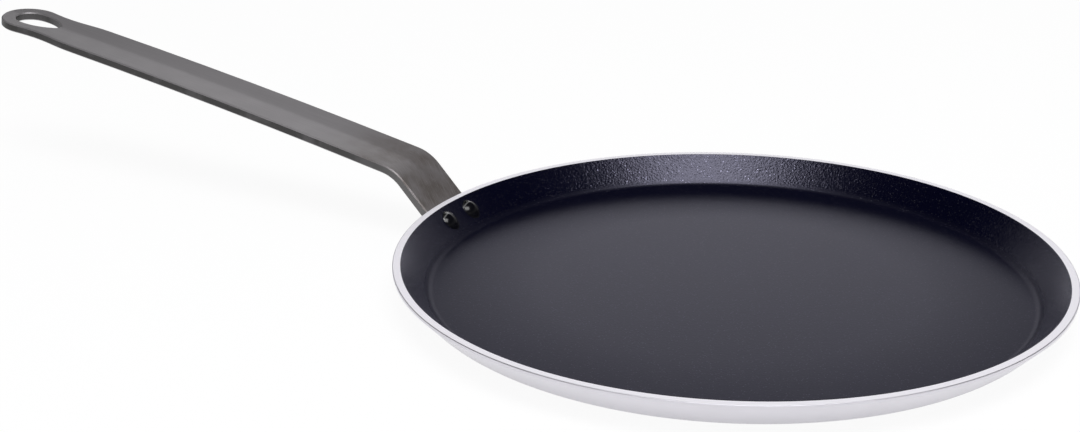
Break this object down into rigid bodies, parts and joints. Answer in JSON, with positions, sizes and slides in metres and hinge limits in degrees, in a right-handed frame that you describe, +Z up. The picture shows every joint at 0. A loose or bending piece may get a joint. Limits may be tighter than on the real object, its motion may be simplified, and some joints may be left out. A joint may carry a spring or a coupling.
{
  "type": "crepe pan",
  "caption": "Low round pan with a flared coated wall, a flat bright lip and a bent flat strip handle with a teardrop hanging eye, held by domed rivets.",
  "frame": {"origin": "centre of the underside of the flat base", "axes": "+Z up, square to the base; +X from the pan's axis towards the tip of the handle"},
  "size_m": [0.5784, 0.3, 0.0784],
  "materials": {
    "pan_body": "finely turned and satin, with a bright flat lip",
    "nonstick_coating": "dark blue-black non-stick coating with fine pale specks, satin",
    "handle": "grey steel strip, satin, with a slightly brown cast near the pan",
    "rivet_left": "solid rivet, coated dark and smooth",
    "rivet_right": "solid rivet, coated dark and smooth"
  },
  "bodies": {
    "root": {"pan_body": "pan_body", "nonstick_coating": "nonstick_coating", "handle": "handle", "rivet_left": "rivet_left", "rivet_right": "rivet_right"}
  },
  "joints": []
}
